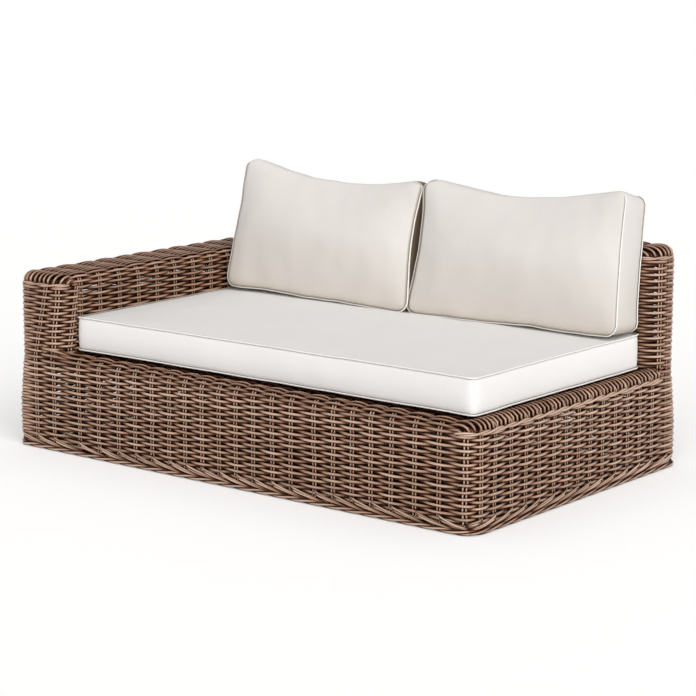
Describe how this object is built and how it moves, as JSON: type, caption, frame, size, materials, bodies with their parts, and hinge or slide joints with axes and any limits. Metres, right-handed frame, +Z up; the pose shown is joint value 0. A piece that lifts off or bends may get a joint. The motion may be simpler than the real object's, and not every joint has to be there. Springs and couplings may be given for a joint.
{
  "type": "rattan garden sofa",
  "caption": "Garden sofa section with one low arm and an open end: synthetic wicker woven over a tube frame, with a deep seat cushion and loose back cushions.",
  "frame": {"origin": "centre of the footprint, on the floor", "axes": "+X along the sofa from the arm to the open end, -Y to the front where one sits, +Z up"},
  "size_m": [1.62, 0.98, 0.7759],
  "materials": {
    "wicker": "woven synthetic wicker, satin",
    "border_wicker": "braided synthetic wicker, satin",
    "powder_coat": "brown powder coat on aluminium tube",
    "nylon": "moulded",
    "cushion_canvas": "woven outdoor canvas over foam"
  },
  "bodies": {
    "frame": {"arm_front_skin": "wicker", "arm_inner_post_front": "powder_coat", "arm_inner_post_rear": "powder_coat", "arm_inner_skin": "wicker", "arm_outer_post_front": "powder_coat", "arm_outer_post_rear": "powder_coat", "arm_outer_skin": "wicker", "arm_top_inner_rail": "powder_coat", "arm_top_outer_rail": "powder_coat", "arm_top_skin": "wicker", "back_front_post_left": "powder_coat", "back_front_post_middle": "powder_coat", "back_front_post_right": "powder_coat", "back_front_skin": "wicker", "back_rear_post_left": "powder_coat", "back_rear_post_middle": "powder_coat", "back_rear_post_right": "powder_coat", "back_top_front_rail": "powder_coat", "back_top_rear_rail": "powder_coat", "back_top_skin": "wicker", "deck_front_rail": "powder_coat", "deck_left_rail": "powder_coat", "deck_rear_rail": "powder_coat", "deck_right_rail": "powder_coat", "foot_glide_front_left": "nylon", "foot_glide_front_middle": "nylon", "foot_glide_front_right": "nylon", "foot_glide_rear_left": "nylon", "foot_glide_rear_middle": "nylon", "foot_glide_rear_right": "nylon", "front_border": "border_wicker", "front_skin": "wicker", "left_border": "border_wicker", "lower_front_post_left": "powder_coat", "lower_front_post_middle": "powder_coat", "lower_front_post_right": "powder_coat", "lower_front_rail": "powder_coat", "lower_left_rail": "powder_coat", "lower_rear_post_left": "powder_coat", "lower_rear_post_middle": "powder_coat", "lower_rear_post_right": "powder_coat", "lower_rear_rail": "powder_coat", "lower_right_rail": "powder_coat", "rear_border": "border_wicker", "rear_skin": "wicker", "right_border": "border_wicker", "right_end_skin": "wicker", "seat_bar_1": "powder_coat", "seat_bar_2": "powder_coat", "seat_bar_3": "powder_coat", "seat_bar_4": "powder_coat", "seat_deck": "wicker", "seat_front_edge": "wicker", "seat_left_rail": "powder_coat", "seat_rear_rail": "powder_coat", "seat_right_edge": "wicker"},
    "seat_cushion": {"seat_cushion": "cushion_canvas"},
    "left_back_cushion": {"left_back_cushion": "cushion_canvas"},
    "right_back_cushion": {"right_back_cushion": "cushion_canvas"}
  },
  "joints": [
    {"name": "seat_cushion_lift", "type": "slide", "parent": "frame", "child": "seat_cushion", "axis": [0, 0, 1], "range_m": [0, 0.36]},
    {"name": "left_back_cushion_lift", "type": "slide", "parent": "seat_cushion", "child": "left_back_cushion", "axis": [0, 0, 1], "range_m": [0, 0.26]},
    {"name": "right_back_cushion_lift", "type": "slide", "parent": "seat_cushion", "child": "right_back_cushion", "axis": [0, 0, 1], "range_m": [0, 0.26]}
  ]
}
